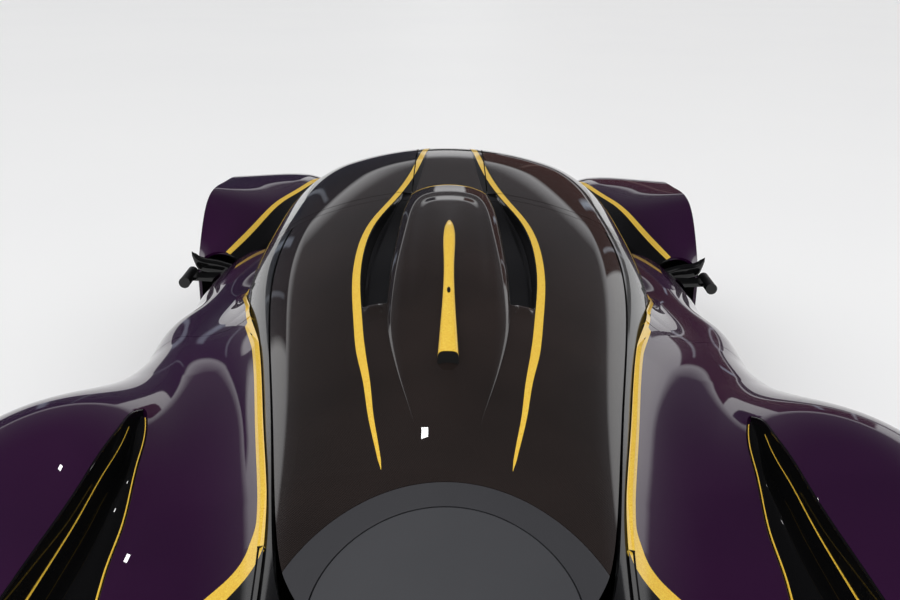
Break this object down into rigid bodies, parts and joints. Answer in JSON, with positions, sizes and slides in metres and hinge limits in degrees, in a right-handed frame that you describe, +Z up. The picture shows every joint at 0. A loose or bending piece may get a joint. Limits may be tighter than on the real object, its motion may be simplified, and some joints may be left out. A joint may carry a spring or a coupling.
{
  "type": "mid-engined two-seat hypercar",
  "caption": "Low closed two-seat hypercar with a teardrop centre body, separate fenders, roof scoop, gull-wing doors and four road wheels.",
  "frame": {"origin": "on the ground, at the middle of the car's box", "axes": "+Y forwards, +X the car's right side, +Z up"},
  "size_m": [2.104, 4.5598, 1.1434],
  "materials": {
    "purple_paint": "deep purple clear-coated paint over carbon panels",
    "gold_paint": "gold flake paint",
    "dark_carbon": "lacquered dark carbon weave",
    "matt_carbon": "unlacquered carbon",
    "glass": "dark tinted glass",
    "heat_shield": "satin dark grey heat shield",
    "tyre": "rubber",
    "wheel": "dark forged alloy",
    "brake": "ground brake disc",
    "metal": "machined alloy",
    "exhaust": "heat-tinted exhaust metal",
    "trim": "dark woven seat trim",
    "lamp": "clear lamp lens",
    "tail_lamp": "red lamp bar"
  },
  "bodies": {
    "body": {"cabin_frame": "dark_carbon", "cabin_tub": "matt_carbon", "camera_arm_left": "matt_carbon", "camera_arm_right": "matt_carbon", "dashboard": "matt_carbon", "diffuser": "matt_carbon", "drive_shafts": "metal", "engine": "metal", "engine_bay_flank_left": "dark_carbon", "engine_bay_flank_right": "dark_carbon", "engine_cover": "dark_carbon", "exhausts": "exhaust", "floor": "matt_carbon", "front_fender_left": "purple_paint", "front_fender_right": "purple_paint", "front_splitter": "matt_carbon", "front_wing": "matt_carbon", "front_wishbones": "metal", "gearbox": "metal", "headlamps": "lamp", "heat_shield_panel": "heat_shield", "heat_shield_ring": "heat_shield", "nose": "dark_carbon", "rear_knuckle_left": "metal", "rear_knuckle_right": "metal", "rear_quarter_left": "purple_paint", "rear_quarter_right": "purple_paint", "rear_wishbones": "metal", "seats": "trim", "side_pod_left": "purple_paint", "side_pod_right": "purple_paint", "spine_pod": "gold_paint", "steering_wheel": "matt_carbon", "tail_lamps": "tail_lamp", "tail_panel": "matt_carbon", "windscreen": "glass"},
    "front_wheel_left": {"front_tyre_left": "tyre", "front_rim_left": "wheel", "front_brake_disc_left": "brake"},
    "front_wheel_right": {"front_tyre_right": "tyre", "front_rim_right": "wheel", "front_brake_disc_right": "brake"},
    "rear_wheel_left": {"rear_tyre_left": "tyre", "rear_rim_left": "wheel", "rear_brake_disc_left": "brake"},
    "rear_wheel_right": {"rear_tyre_right": "tyre", "rear_rim_right": "wheel", "rear_brake_disc_right": "brake"},
    "front_knuckle_left": {"front_knuckle_left": "metal"},
    "door_left": {"door_left": "dark_carbon", "door_glass_left": "glass"},
    "front_knuckle_right": {"front_knuckle_right": "metal"},
    "door_right": {"door_right": "dark_carbon", "door_glass_right": "glass"}
  },
  "joints": [
    {"name": "steer_left", "type": "hinge", "parent": "body", "child": "front_knuckle_left", "pos_m": [-0.782, 1.35, 0.345], "axis": [0, 0, 1], "range_deg": [-22, 22]},
    {"name": "front_wheel_spin_left", "type": "hinge", "parent": "front_knuckle_left", "child": "front_wheel_left", "pos_m": [-0.832, 1.35, 0.345], "axis": [1, 0, 0], "continuous": true},
    {"name": "rear_wheel_spin_left", "type": "hinge", "parent": "body", "child": "rear_wheel_left", "pos_m": [-0.83, -1.42, 0.36], "axis": [1, 0, 0], "continuous": true},
    {"name": "door_swing_left", "type": "hinge", "parent": "body", "child": "door_left", "pos_m": [-0.12, 0, 1.142], "axis": [0, 1, 0], "range_deg": [0, 75]},
    {"name": "steer_right", "type": "hinge", "parent": "body", "child": "front_knuckle_right", "pos_m": [0.782, 1.35, 0.345], "axis": [0, 0, 1], "range_deg": [-22, 22]},
    {"name": "front_wheel_spin_right", "type": "hinge", "parent": "front_knuckle_right", "child": "front_wheel_right", "pos_m": [0.832, 1.35, 0.345], "axis": [1, 0, 0], "continuous": true},
    {"name": "rear_wheel_spin_right", "type": "hinge", "parent": "body", "child": "rear_wheel_right", "pos_m": [0.83, -1.42, 0.36], "axis": [1, 0, 0], "continuous": true},
    {"name": "door_swing_right", "type": "hinge", "parent": "body", "child": "door_right", "pos_m": [0.12, 0, 1.142], "axis": [0, -1, 0], "range_deg": [0, 75]}
  ],
  "couplings": [
    {"joint": "steer_left", "follows": "steer_right", "ratio": 1}
  ]
}
